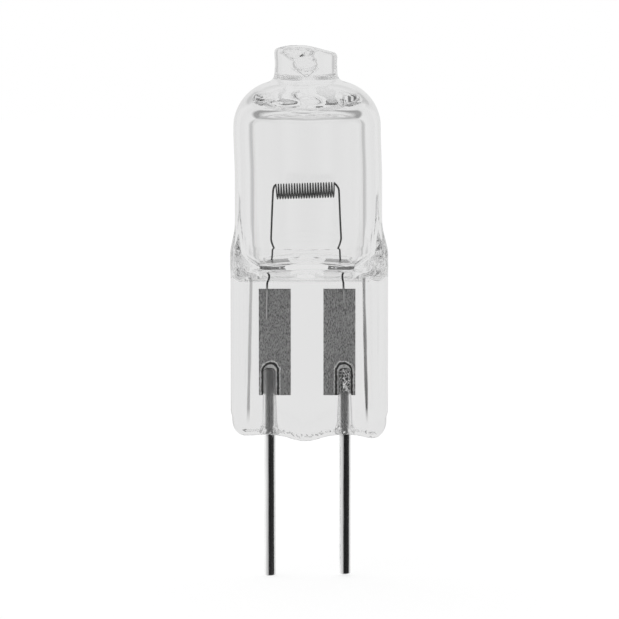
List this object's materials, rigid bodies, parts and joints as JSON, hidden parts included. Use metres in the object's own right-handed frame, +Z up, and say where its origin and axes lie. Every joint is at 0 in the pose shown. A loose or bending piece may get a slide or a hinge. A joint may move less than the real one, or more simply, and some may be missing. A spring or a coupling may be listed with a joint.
{
  "type": "halogen capsule bulb",
  "caption": "Small halogen capsule bulb: a clear round quartz tube with a stubby tip, a level coiled filament and a flat pressed seal with straight contact pins.",
  "frame": {"origin": "midway between the pins' axes, at the lowest point of the glass foot", "axes": "+Z up along the tube's axis to the tip, +X from the left pin to the right pin, -Y the side seen in the picture"},
  "size_m": [0.0084, 0.0078, 0.0284],
  "materials": {
    "quartz_glass": "clear, fire polished",
    "tungsten_wire": "drawn wire, dull grey",
    "sealing_foil": "rolled foil, satin",
    "contact_pin": "bright drawn wire"
  },
  "bodies": {
    "root": {"glass_envelope": "quartz_glass", "filament": "tungsten_wire", "foil_left": "sealing_foil", "foil_right": "sealing_foil", "pin_left": "contact_pin", "pin_right": "contact_pin"}
  },
  "joints": []
}
